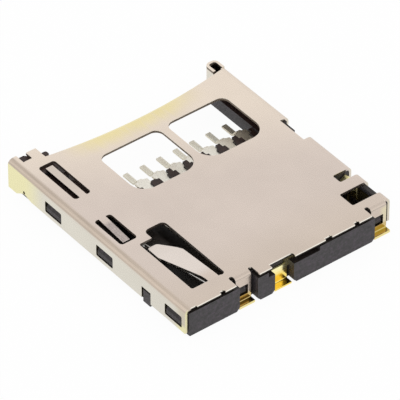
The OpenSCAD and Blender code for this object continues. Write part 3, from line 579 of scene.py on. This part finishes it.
def buildCoverFinish(s):
    material, tree, shader, place, facing = newMaterial("coverPlating")
    x, y, z = split(tree, place)
    nx, ny, nz = split(tree, facing)
    side = unsigned(tree, nx)
    nearHalf = rise(tree, x, *s["nearHalf"])

    # flat sheet, paler at the mouth and darker at the rear: a painted gradient of light and shade
    slant = number(tree, "ADD", y, number(tree, "MULTIPLY", x, s["mouthSlant"]))
    colour = tint(tree, s["top"], s["mouthTop"], fall(tree, slant, *s["mouthFade"]))
    colour = tint(tree, colour, s["rearTop"], rise(tree, y, *s["rearFade"]))

    # walls and the bends above them; painted shade on the bends, lighter towards the rear, with a darker
    # stripe and a painted highlight on the crest
    wall = both(tree, rise(tree, side, *s["wallFacing"]),
                span(tree, z, *s["wallTop"], 1.0, s["wallTopShare"]))
    nearEdge = rise(tree, unsigned(tree, x), *s["bendFrom"])
    bend = both(tree, inverse(tree, wall), nearEdge, rise(tree, z, *s["bendHeight"]),
                span(tree, x, *s["nearHalf"], s["farBendShare"], 1.0))
    bendShadeColour = scaled(tree, s["bend"], span(tree, y, *s["bendRear"], 1.0, s["bendRearLight"]))
    turned = span(tree, side, *s["bendFacing"], s["bendTopShare"], 1.0)
    colour = tint(tree, colour, bendShadeColour, both(tree, bend, turned))
    bendShadeLine = both(tree, between(tree, side, *s["lineFacing"]), bend)
    colour = tint(tree, colour, scaled(tree, colour, s["lineTone"]), bendShadeLine)
    bendHighlight = both(tree, between(tree, side, *s["ridgeFacing"]), bend)
    colour = tint(tree, colour, scaled(tree, colour, s["ridgeHighlight"]), bendHighlight)
    # painted reflection: the walls paler and greener than the top, mirroring the white table
    colour = tint(tree, colour, s["wall"], wall)

    # leaf and tongues: a painted reflection on the leaf, painted shade on the bent-down tongues
    leaf = both(tree, zone(tree, place, s["leafBox"], s["softEdge"]), fall(tree, z, *s["leafBelow"]))
    colour = tint(tree, colour, s["leaf"], leaf)
    # painted shade on the bent-down tongues
    tongue = zone(tree, place, s["sliderTongueBox"], s["softEdge"])
    colour = tint(tree, colour, s["sliderTongueShade"], tongue)
    front = zone(tree, place, s["frontTongueBox"], s["softEdge"])
    colour = tint(tree, colour, s["frontTongueShade"], both(tree, front, fall(tree, y, *s["frontTongueFade"])))

    # yellow along the thumb cut-out; the palest band right at the edge is a painted highlight
    offset = vector(tree, "SUBTRACT", place, (*s["arcCentre"], 0))
    away = length(tree, vector(tree, "MULTIPLY", offset, (1, 1, 0)))
    depth = number(tree, "SUBTRACT", away, s["arcRadius"])
    draw = useGroup(tree, linesGroup, Place=place, **s["arcLines"])
    ragged = number(tree, "ADD", depth, vary(tree, draw["Lines"], -s["arcRagged"], s["arcRagged"]))
    onPlate = rise(tree, depth, *s["arcStart"])
    alongArc = both(tree, between(tree, x, *s["arcLength"]), onPlate)
    arc = both(tree, fall(tree, ragged, *s["arcFade"]), alongArc)
    colour = tint(tree, colour, s["arcYellow"], arc)
    streak = both(tree, draw["Deep"], fall(tree, depth, *s["streakFade"]), alongArc, s["streakShare"])
    colour = tint(tree, colour, s["mouthTop"], streak)
    # painted highlight along the cut edge
    lip = both(tree, fall(tree, depth, *s["lipFade"]), onPlate, alongArc, s["lipShare"])
    colour = tint(tree, colour, s["arcEdge"], lip)

    # yellow at the front of the near wall and at its lower rear corner
    nearWall = both(tree, rise(tree, side, *s["nearWallFacing"]), rise(tree, x, *s["nearWallFrom"]))
    frontWall = both(tree, nearWall, fall(tree, y, *s["frontYellow"]))
    rearWall = both(tree, nearWall, rise(tree, y, *s["wallRearFrom"]))
    lowRear = both(tree, rearWall, fall(tree, z, *s["wallLow"]))
    colour = tint(tree, colour, s["wallRear"], both(tree, rearWall, s["wallRearShare"]))
    colour = tint(tree, colour, s["wallYellow"], either(tree, frontWall, lowRear))

    # solder feet of the rear tabs, with painted reflections on the soles and a painted highlight on the
    # tips
    foot = both(tree, rise(tree, y, *s["footFrom"]), fall(tree, z, *s["footHeight"]),
                fall(tree, unsigned(tree, x), *s["footSide"]))
    colour = tint(tree, colour, s["foot"], both(tree, foot, s["footShare"]))
    sole = both(tree, foot, rise(tree, nz, *s["squareFacing"]), fall(tree, z, *s["soleHeight"]),
                fall(tree, y, *s["soleEnd"]))
    colour = tint(tree, colour, tint(tree, s["farSoleReflection"], s["nearSoleReflection"], nearHalf), sole)
    rearFacing = rise(tree, ny, *s["squareFacing"])
    toeHighlight = both(tree, foot, rearFacing, rise(tree, y, *s["toeFrom"]))
    colour = tint(tree, colour, s["toeHighlight"], toeHighlight)

    # outer edge of the far tab
    tabEdge = both(tree, rearFacing, rise(tree, y, *s["tabFrom"]), between(tree, z, *s["tabHeight"]),
                   fall(tree, x, *s["tabSide"]), s["tabShare"])
    colour = tint(tree, colour, s["wallYellow"], tabEdge)

    # painted shade on the underside of the sheet and a painted shadow in the hollow of the ear
    under = both(tree, fall(tree, nz, *s["underFacing"]), rise(tree, z, *s["underFrom"]))
    colour = tint(tree, colour, s["inside"], under)
    ear = both(tree, zone(tree, place, s["earBox"], s["earFade"]), fall(tree, nz, *s["earFacing"]))
    colour = tint(tree, colour, s["earShadow"], ear)

    # stamped edges: a burnished band above, made brighter as a painted highlight, and the rough torn band
    # below, darkened as painted shade, near black at the rear and lighter in the windows
    opening = zone(tree, place, s["leafOpening"], s["softEdge"])
    sprung = either(tree, opening, tongue, front)
    cut = fall(tree, unsigned(tree, nz), *s["cutFacing"])
    upper = both(tree, cut, rise(tree, z, *s["cutFrom"]), inverse(tree, nearEdge), inverse(tree, sprung))
    down = number(tree, "DIVIDE", number(tree, "SUBTRACT", s["sheetTop"], z), s["sheetThickness"])
    wavy = number(tree, "ADD", down, vary(tree, draw["Lines"], -s["tornWave"], s["tornWave"]))
    wavy = number(tree, "ADD", wavy, span(tree, y, *s["tornRear"], *s["tornShift"]))
    torn = both(tree, upper, rise(tree, wavy, *s["tornFrom"]))
    inWindow = both(tree, fall(tree, y, *s["windowRear"]), fall(tree, x, *s["windowSide"]))
    tornShade = tint(tree, s["fractureInShade"], s["windowFractureLit"], inWindow)
    tornShade = tint(tree, tornShade, s["rearFractureShade"], rise(tree, y, *s["rearEdgeFrom"]))
    colour = tint(tree, colour, s["burnishAndHighlight"], upper)
    colour = tint(tree, colour, tornShade, torn)
    # painted shade on the slit walls round the leaf and tongues
    colour = tint(tree, colour, s["fractureInShade"], both(tree, sprung, cut))
    # painted highlight on the side edge of the leaf opening
    leafSideHighlight = both(tree, opening, cut, rise(tree, nx, *s["leafSideFacing"]),
                    rise(tree, x, *s["leafSideFrom"]), s["leafSideShare"])
    colour = tint(tree, colour, s["burnishAndHighlight"], leafSideHighlight)
    # painted highlight: a glint on the walls' cut ends, yellow on the near side
    wallEndGlint = both(tree, rise(tree, unsigned(tree, ny), *s["wallEndFacing"]),
                   rise(tree, unsigned(tree, x), *s["wallEndFrom"]), s["wallEndShare"])
    colour = tint(tree, colour, tint(tree, s["wallEndGlint"], s["wallYellow"], nearHalf), wallEndGlint)

    # plating: slow clouds, fine grain, rolling lines and a few handling marks
    grain = grainOf(tree, place, s["grain"])
    rolled = linesOf(tree, place, s["rolling"])
    tone = number(tree, "MULTIPLY", vary(tree, grainOf(tree, place, s["clouds"]), *s["cloudTone"]),
                  vary(tree, grain, *s["grainTone"]))
    brushed = vary(tree, linesOf(tree, place, s["brushing"]), *s["brushTone"])
    onTongue = number(tree, "ADD", both(tree, tongue, brushed), inverse(tree, tongue))
    colour = scaled(tree, colour, onTongue)
    lined = addNode(tree, "ShaderNodeMix", data_type="FLOAT")
    plug(tree, lined.inputs["Factor"], either(tree, both(tree, bend, s["rollOnBend"]), tongue))
    plug(tree, lined.inputs["A"], 1.0)
    plug(tree, lined.inputs["B"], vary(tree, rolled, *s["rollTone"]))
    colour = scaled(tree, colour, number(tree, "MULTIPLY", tone, lined.outputs[0]))
    scuffs = number(tree, "ADD", marksOf(tree, place, s["marks"]), marksOf(tree, place, s["crossMarks"]),
                    clamp=True)
    colour = tint(tree, colour, s["scuff"], both(tree, scuffs, s["markShare"]))
    # painted highlight on the sheet's edges, with wear, off the cut faces and bends
    wornAndGlint = both(tree, glintAndWearOf(tree, s["edgeGlintAndWear"]), inverse(tree, cut), inverse(tree, bend))
    colour = tint(tree, colour, s["burnishAndHighlight"], wornAndGlint)
    plug(tree, shader.inputs["Base Color"], colour)

    plug(tree, shader.inputs["Metallic"], span(tree, torn, 0, 1, 1.0, s["tornMetal"]))
    rough = number(tree, "ADD", vary(tree, grain, *s["grainRough"]), s["roughness"])
    rough = number(tree, "ADD", rough, both(tree, tongue, s["tongueRough"]))
    rough = number(tree, "SUBTRACT", rough, both(tree, foot, s["footSmooth"]))
    rough = number(tree, "ADD", rough, both(tree, torn, s["tornRough"]), clamp=True)
    plug(tree, shader.inputs["Roughness"], rough)
    height = number(tree, "ADD", grain, both(tree, rolled, s["rollHeight"]))
    height = number(tree, "SUBTRACT", height, both(tree, scuffs, s["markDepth"]))
    addBump(tree, shader, height, *s["bump"])
    return material


paint(["cover"], buildCoverFinish(coverLook))
print("cover plated")


# black glass-filled plastic of the housing and the slider
plasticLook = {
    "deep": (0.018, 0.014, 0.012),       # painted shade on floors, ledges and other level faces
    "comb": (0.031, 0.015, 0.012),       # the same painted shade towards the mouth, round the contacts, with a redder cast
    "face": (0.040, 0.036, 0.038),       # painted light: upright and downward faces lighter than level ones
    "purple": (0.050, 0.036, 0.050),
    # flecks, pin marks, and the painted highlight on edges
    "wornAndGlint": (0.085, 0.080, 0.080),
    "latch": (0.020, 0.016, 0.015),      # painted shade on the bosses in the wall windows
    # painted shade: the locator boss darker and browner
    "locator": (0.036, 0.030, 0.029),
    "levelFacing": (0.25, 0.75),
    "underFacing": (-0.75, -0.25),
    "combEnd": (-2.0, -1.0),
    "latchFrom": (6.7, 6.74),
    # painted shade in the recess under the sheet's rear edge
    "recessBox": ((-0.5, 5.0, 0.9), (2.2, 6.95, 1.66)),
    "recessFade": 0.05,
    "locatorBox": ((6.6, 3.9, 0.0), (7.0, 4.7, 1.6)),
    "locatorFade": 0.03,
    "mottle": {"Size": 0.16, "Layers": 3.0},
    "mottleTone": (0.6, 1.4),
    "purpleFrom": (0.45, 0.7),
    "purpleShare": 0.7,
    "grain": {"Size": 0.035, "Layers": 3.0},
    "fleckShare": 0.25,
    "flow": {"Across": (0.12, 1, 1), "Width": 0.09},
    "flowTone": (0.75, 1.25),
    "edgeGlintAndWear": {"Radius": 0.04, "Reach": 0.7},
    "pinHeight": 6.0,
    "pinShare": 0.35,
    "pinRimFrom": (0.3, 0.8),
    "pinRimShare": 0.9,
    "roughness": 0.46,
    "grainRough": (-0.06, 0.06),
    "wornSmooth": 0.1,
    "specular": 0.36,
    "bump": (0.0035, 0.8),
}


def buildPlasticFinish(name, s, pinMarks):
    material, tree, shader, place, facing = newMaterial(name)
    x, y, _ = split(tree, place)
    nz = split(tree, facing)[2]
    upright = fall(tree, unsigned(tree, nz), *s["levelFacing"])
    level = inverse(tree, upright)
    underneath = fall(tree, nz, *s["underFacing"])
    # painted shade on level faces, painted light on upright and downward ones
    colour = tint(tree, s["comb"], s["deep"], rise(tree, y, *s["combEnd"]))
    colour = tint(tree, colour, s["face"], either(tree, upright, underneath))
    # painted shade on the bosses in the wall windows
    colour = tint(tree, colour, s["latch"], rise(tree, x, *s["latchFrom"]))
    # painted shade in the recess under the sheet's rear edge
    colour = tint(tree, colour, s["deep"], zone(tree, place, s["recessBox"], s["recessFade"]))
    # painted shade: the locator boss darker and browner
    colour = tint(tree, colour, s["locator"], zone(tree, place, s["locatorBox"], s["locatorFade"]))

    # mottle and flow lines, a cast of purple, light flecks, and edges lighter from wear and a painted
    # highlight
    mottle = grainOf(tree, place, s["mottle"])
    grain = useGroup(tree, grainGroup, Place=place, **s["grain"])
    flow = linesOf(tree, place, s["flow"])
    cast = both(tree, rise(tree, mottle, *s["purpleFrom"]), upright, s["purpleShare"])
    colour = tint(tree, colour, s["purple"], cast)
    tone = number(tree, "MULTIPLY", vary(tree, mottle, *s["mottleTone"]), vary(tree, flow, *s["flowTone"]))
    colour = scaled(tree, colour, tone)
    colour = tint(tree, colour, s["wornAndGlint"], both(tree, grain["Spots"], upright, s["fleckShare"]))
    # painted highlight on upright edges, with wear
    wornAndGlint = glintAndWearOf(tree, s["edgeGlintAndWear"])
    colour = tint(tree, colour, s["wornAndGlint"], both(tree, wornAndGlint, upright))

    height = grain["Grain"]
    for *centre, radius in pinMarks:
        mark = useGroup(tree, pinMarkGroup, Place=place, Centre=centre, Radius=radius)
        height = number(tree, "ADD", height, both(tree, mark["Height"], level, s["pinHeight"]))
        colour = tint(tree, colour, s["wornAndGlint"], both(tree, mark["Disc"], level, s["pinShare"]))
        rim = rise(tree, mark["Height"], *s["pinRimFrom"])
        colour = tint(tree, colour, s["deep"], both(tree, rim, level, s["pinRimShare"]))
    plug(tree, shader.inputs["Base Color"], colour)
    rough = number(tree, "ADD", vary(tree, grain["Grain"], *s["grainRough"]), s["roughness"])
    rough = number(tree, "SUBTRACT", rough, both(tree, wornAndGlint, s["wornSmooth"]))
    plug(tree, shader.inputs["Roughness"], rough)
    shader.inputs["Specular IOR Level"].default_value = s["specular"]
    addBump(tree, shader, height, *s["bump"])
    return material


# ejector pins on the hidden side: centre and radius in mm
housingPins = [
    (-6.35, -3.0, 0, 0.22), (-6.35, 1.2, 0, 0.22), (6.3, -4.6, 0, 0.24), (4.6, -4.6, 0, 0.3),
    (0.0, 6.6, 0, 0.3), (-4.6, 6.6, 0, 0.3), (4.7, 6.9, 0, 0.3),
]
sliderPins = [(5.4, -1.9, 0, 0.2), (4.6, 0.6, 0, 0.2)]
paint(["housing"], buildPlasticFinish("housingPlastic", plasticLook, housingPins))
paint(["slider"], buildPlasticFinish("sliderPlastic", plasticLook, sliderPins))
print("housing and slider moulded")


# contacts: tin-plated tails and plates, gold flash where the card touches
contactLook = {
    "tin": (0.96, 0.955, 0.86),
    "plate": (0.90, 0.87, 0.79),         # the flat by the bar is warmer
    "farPlateShade": (0.64, 0.57, 0.46),      # and in painted shade towards the far rail
    "streak": (0.70, 0.65, 0.54),
    "gold": (0.86, 0.64, 0.24),
    "shadedTail": (0.62, 0.56, 0.45),       # painted shade on the last tail, beside the far rail
    "cut": (0.62, 0.56, 0.44),
    "firstCentre": 2.65,
    "pitch": 1.1,
    "lines": {"Across": (1, 0.05, 1), "Width": 0.035},
    "lineTone": (0.92, 1.07),
    "grain": {"Size": 0.09, "Layers": 3.0},
    "grainTone": (0.96, 1.03),
    "streakSide": (0.05, 0.13),          # from the middle of each contact
    "streakFrom": (0.4, 0.62),
    "streakShare": 0.6,
    "plateFrom": (-3.6, -3.3),
    "farPlateEnd": (-5.0, -2.4),
    "cutFacing": (0.7, 0.9),
    "cutShare": 0.7,
    "shadedTailBox": ((-5.6, -4.7, -0.1), (-4.5, -3.2, 0.5)),
    "shadedTailFade": 0.1,
    "shadedTailShare": 0.8,
    "goldFrom": (2.3, 2.6),
    "goldRagged": 0.08,
    "roughness": 0.5,
    "lineRough": (-0.05, 0.06),
    "bump": (0.0015, 0.7),
}


def buildContactFinish(s):
    material, tree, shader, place, facing = newMaterial("contactPlating")
    x, y, _ = split(tree, place)
    nx = split(tree, facing)[0]
    fromFirst = number(tree, "SUBTRACT", x, s["firstCentre"])
    fromMiddle = unsigned(tree, number(tree, "WRAP", fromFirst, s["pitch"] / 2, -s["pitch"] / 2))
    lines = linesOf(tree, place, s["lines"])
    grain = grainOf(tree, place, s["grain"])
    streak = both(tree, fall(tree, fromMiddle, *s["streakSide"]), rise(tree, lines, *s["streakFrom"]),
                  s["streakShare"])
    colour = tint(tree, s["tin"], s["streak"], streak)
    # painted shade on the plates towards the far rail
    plate = tint(tree, s["plate"], s["farPlateShade"], fall(tree, x, *s["farPlateEnd"]))
    colour = tint(tree, colour, plate, rise(tree, y, *s["plateFrom"]))
    edge = rise(tree, unsigned(tree, nx), *s["cutFacing"])
    colour = tint(tree, colour, s["cut"], both(tree, edge, s["cutShare"]))
    # painted shade on the last tail
    tailShade = zone(tree, place, s["shadedTailBox"], s["shadedTailFade"])
    colour = tint(tree, colour, s["shadedTail"], both(tree, tailShade, s["shadedTailShare"]))
    ragged = number(tree, "ADD", y, vary(tree, grain, -s["goldRagged"], s["goldRagged"]))
    colour = tint(tree, colour, s["gold"], rise(tree, ragged, *s["goldFrom"]))
    tone = number(tree, "MULTIPLY", vary(tree, lines, *s["lineTone"]), vary(tree, grain, *s["grainTone"]))
    plug(tree, shader.inputs["Base Color"], scaled(tree, colour, tone))
    shader.inputs["Metallic"].default_value = 1.0
    rough = number(tree, "ADD", vary(tree, lines, *s["lineRough"]), s["roughness"])
    plug(tree, shader.inputs["Roughness"], rough)
    addBump(tree, shader, number(tree, "ADD", lines, grain), *s["bump"])
    return material


contacts = [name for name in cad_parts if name.startswith("contact_")]
paint(contacts, buildContactFinish(contactLook))
print("contacts plated:", len(contacts))


# switch strips: gold plate, paler towards the top as painted light
switchLook = {
    "gold": (1.0, 0.76, 0.19),
    # painted light on the upper part of the strips, and on their edges
    "litGold": (1.0, 0.92, 0.50),
    "lip": (0.16, 0.09, 0.02),           # shaded corner of the terminal's foot
    "deep": (0.74, 0.50, 0.10),
    "shaded": (0.05, 0.037, 0.015),      # the arm inside, under the far slots
    "litGoldFrom": (0.45, 1.05),
    "grain": {"Size": 0.12, "Layers": 4.0},
    "stainFrom": (0.56, 0.74),
    "stainShare": 0.25,
    "lines": {"Across": (1, 1, 0.06), "Width": 0.04},
    "lineTone": (0.94, 1.05),
    "armEnd": (-1.2, -0.6),
    "armFrom": (4.9, 5.1),
    "cornerBox": ((-0.1, 7.15, -0.1), (0.22, 7.5, 0.2)),
    "cornerFade": 0.12,
    "cornerShare": 0.7,
    "edgeGlintAndWear": {"Radius": 0.015, "Reach": 0.5},
    "roughness": 0.14,
    "grainRough": (-0.04, 0.08),
    "armRough": 0.5,
    "shearedFacing": (0.8, 0.95),        # the blade's top edge was sheared
    "shearedFrom": (0.5, 0.6),
    "shearedRough": 0.4,
    "bump": (0.001, 0.6),
}


def buildSwitchFinish(s):
    material, tree, shader, place, facing = newMaterial("switchGold")
    x, y, z = split(tree, place)
    nz = split(tree, facing)[2]
    grain = grainOf(tree, place, s["grain"])
    lines = linesOf(tree, place, s["lines"])
    # painted light: the gold paler towards the top
    colour = tint(tree, s["gold"], s["litGold"], rise(tree, z, *s["litGoldFrom"]))
    colour = tint(tree, colour, s["deep"], both(tree, rise(tree, grain, *s["stainFrom"]), s["stainShare"]))
    arm = both(tree, fall(tree, x, *s["armEnd"]), rise(tree, y, *s["armFrom"]))
    colour = tint(tree, colour, s["shaded"], arm)
    corner = zone(tree, place, s["cornerBox"], s["cornerFade"])
    colour = tint(tree, colour, s["lip"], both(tree, corner, s["cornerShare"]))
    # painted highlight on the edges, with wear, kept off the shaded arm
    wornAndGlint = both(tree, glintAndWearOf(tree, s["edgeGlintAndWear"]), inverse(tree, arm))
    colour = tint(tree, colour, s["litGold"], wornAndGlint)
    colour = scaled(tree, colour, vary(tree, lines, *s["lineTone"]))
    plug(tree, shader.inputs["Base Color"], colour)
    shader.inputs["Metallic"].default_value = 1.0
    sheared = both(tree, rise(tree, nz, *s["shearedFacing"]), rise(tree, z, *s["shearedFrom"]))
    rough = number(tree, "ADD", vary(tree, grain, *s["grainRough"]), s["roughness"])
    rough = number(tree, "ADD", rough, both(tree, arm, s["armRough"]))
    rough = number(tree, "ADD", rough, both(tree, sheared, s["shearedRough"]))
    plug(tree, shader.inputs["Roughness"], rough)
    addBump(tree, shader, number(tree, "ADD", lines, grain), *s["bump"])
    return material


paint(["detect_spring", "detect_contact"], buildSwitchFinish(switchLook))
print("switch strips plated")


# hard drawn steel wire, for the pin and the spring
wireLook = {
    "steel": (0.62, 0.60, 0.57),
    "dark": (0.34, 0.32, 0.30),
    "bright": (0.82, 0.80, 0.76),
    "pinLines": {"Across": (1, 0.04, 1), "Width": 0.03},
    "springLines": {"Across": (0.5, 1, 0.5), "Width": 0.03},
    "darkShare": 0.6,
    "grain": {"Size": 0.2, "Layers": 2.0},
    "brightFrom": (0.5, 0.7),
    "brightShare": 0.4,
    "edgeGlintAndWear": {"Radius": 0.02, "Reach": 0.5},
    "roughness": 0.24,
    "lineRough": (-0.06, 0.1),
    "bump": (0.0015, 0.8),
}


def buildWireFinish(name, s, drawing):
    material, tree, shader, place, _ = newMaterial(name)
    lines = useGroup(tree, linesGroup, Place=place, **drawing)
    spots = rise(tree, grainOf(tree, place, s["grain"]), *s["brightFrom"])
    colour = tint(tree, s["steel"], s["dark"], both(tree, lines["Deep"], s["darkShare"]))
    colour = tint(tree, colour, s["bright"], both(tree, spots, s["brightShare"]))
    # painted highlight on the edges, with wear
    colour = tint(tree, colour, s["bright"], glintAndWearOf(tree, s["edgeGlintAndWear"]))
    plug(tree, shader.inputs["Base Color"], colour)
    shader.inputs["Metallic"].default_value = 1.0
    rough = number(tree, "ADD", vary(tree, lines["Lines"], *s["lineRough"]), s["roughness"])
    plug(tree, shader.inputs["Roughness"], rough)
    addBump(tree, shader, lines["Lines"], *s["bump"])
    return material


paint(["cam_pin"], buildWireFinish("pinWire", wireLook, wireLook["pinLines"]))
print("cam pin drawn")


# eject spring: round wire, one closed turn at each end, ground flat there
springSize = {
    "wire": 0.11,
    "turns": 13,
    "steps": 36,              # rings for each turn
    "sides": 14,
    "closedPitch": 0.113,
    "firstAngle": math.pi,
    "groundShare": 0.55,      # of the wire's radius, left on the end turns
    "travel": 3.4,
}


def buildEjectSpring(s):
    low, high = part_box("eject_spring")
    x = (low[0] + high[0]) / 2
    z = (low[2] + high[2]) / 2
    wire = s["wire"] * mm / 2
    coil = (high[0] - low[0]) / 2 - wire
    y0 = low[1] + wire
    y1 = high[1] - wire
    ground = s["groundShare"] * wire
    closed = s["closedPitch"] * mm
    openPitch = (y1 - y0 - 2 * closed) / (s["turns"] - 2)
    lastTurn = s["turns"] - 1
    sides = s["sides"]
    rings = s["turns"] * s["steps"] + 1
    vertices = []
    for i in range(rings):
        turn = i / s["steps"]
        opened = max(0, min(turn, lastTurn) - 1)
        y = y0 + closed * min(turn, 1) + openPitch * opened + closed * max(0, turn - lastTurn)
        a = 2 * math.pi * turn + s["firstAngle"]
        out = Vector((math.cos(a), 0, math.sin(a)))
        for j in range(sides):
            b = 2 * math.pi * j / sides
            point = Vector((x, y + wire * math.sin(b), z)) + out * (coil + wire * math.cos(b))
            point.y = min(max(point.y, y0 - ground), y1 + ground)
            vertices.append(point)
    faces = []
    for i in range(rings - 1):
        for j in range(sides):
            a = i * sides + j
            b = i * sides + (j + 1) % sides
            faces.append((a, b, b + sides, a + sides))
    last = (rings - 1) * sides
    faces.append(tuple(reversed(range(sides))))
    faces.append(tuple(range(last, last + sides)))

    mesh = bpy.data.meshes.new("ejectCoil")
    mesh.from_pydata(vertices, [], faces)
    mesh.validate()
    mesh.shade_smooth()
    mesh.materials.append(buildWireFinish("springWire", wireLook, wireLook["springLines"]))
    coilPiece = bpy.data.objects.new("ejectCoil", mesh)
    bpy.context.collection.objects.link(coilPiece)
    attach(coilPiece, "body")
    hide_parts("eject_spring")
    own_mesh(coilPiece)


buildEjectSpring(springSize)
print("eject spring wound")


# white table: it shows white to the camera and in the plating, and keeps a faint shadow
tableLook = {
    "size": 1.2,
    "drop": 0.005 * mm,
    "colour": (0.92, 0.92, 0.92),
    "roughness": 0.7,
    "specular": 0.2,
    "glow": 0.95,
}


def buildTable(s):
    half = s["size"] / 2
    corners = [(-half, -half, 0), (half, -half, 0), (half, half, 0), (-half, half, 0)]
    mesh = bpy.data.meshes.new("table")
    mesh.from_pydata(corners, [], [(0, 1, 2, 3)])
    table = bpy.data.objects.new("table", mesh)
    table.location.z = -s["drop"]
    bpy.context.collection.objects.link(table)
    material = bpy.data.materials.new("whiteTable")
    material.use_nodes = True
    tree = material.node_tree
    shader = tree.nodes["Principled BSDF"]
    shader.inputs["Base Color"].default_value = (*s["colour"], 1)
    shader.inputs["Roughness"].default_value = s["roughness"]
    shader.inputs["Specular IOR Level"].default_value = s["specular"]
    path = addNode(tree, "ShaderNodeLightPath")
    glow = addNode(tree, "ShaderNodeEmission")
    mix = addNode(tree, "ShaderNodeMixShader")
    seen = either(tree, path.outputs["Is Camera Ray"], path.outputs["Is Glossy Ray"],
                  path.outputs["Is Transmission Ray"])
    plug(tree, mix.inputs[0], number(tree, "MULTIPLY", seen, s["glow"]))
    plug(tree, mix.inputs[1], shader.outputs[0])
    plug(tree, mix.inputs[2], glow.outputs[0])
    plug(tree, tree.nodes["Material Output"].inputs["Surface"], mix.outputs[0])
    mesh.materials.append(material)


buildTable(tableLook)


# light tent: bright band round the sides, a little less overhead
tentLook = {
    "strength": 1.0,
    "bands": [                # sine of the height above the horizon, brightness
        (0.0, 0.84),
        (0.17, 1.05),
        (0.52, 1.07),
        (0.66, 0.99),
        (0.80, 0.90),
        (1.0, 0.86),
    ],
}


def buildTent(s):
    world = bpy.data.worlds.new("lightTent")
    bpy.context.scene.world = world
    world.use_nodes = True
    tree = world.node_tree
    coord = addNode(tree, "ShaderNodeTexCoord")
    height = split(tree, coord.outputs["Generated"])[2]
    ramp = addNode(tree, "ShaderNodeValToRGB")
    ramp.color_ramp.interpolation = "EASE"
    plug(tree, ramp.inputs[0], height)
    points = ramp.color_ramp.elements
    while len(points) < len(s["bands"]):
        points.new(0.5)
    for point, (at, value) in zip(points, s["bands"]):
        point.position = at
        point.color = (value, value, value, 1)
    background = tree.nodes["Background"]
    plug(tree, background.inputs["Color"], ramp.outputs[0])
    background.inputs["Strength"].default_value = s["strength"]


buildTent(tentLook)
bpy.context.scene.view_settings.view_transform = "Standard"
print("table and light tent set")
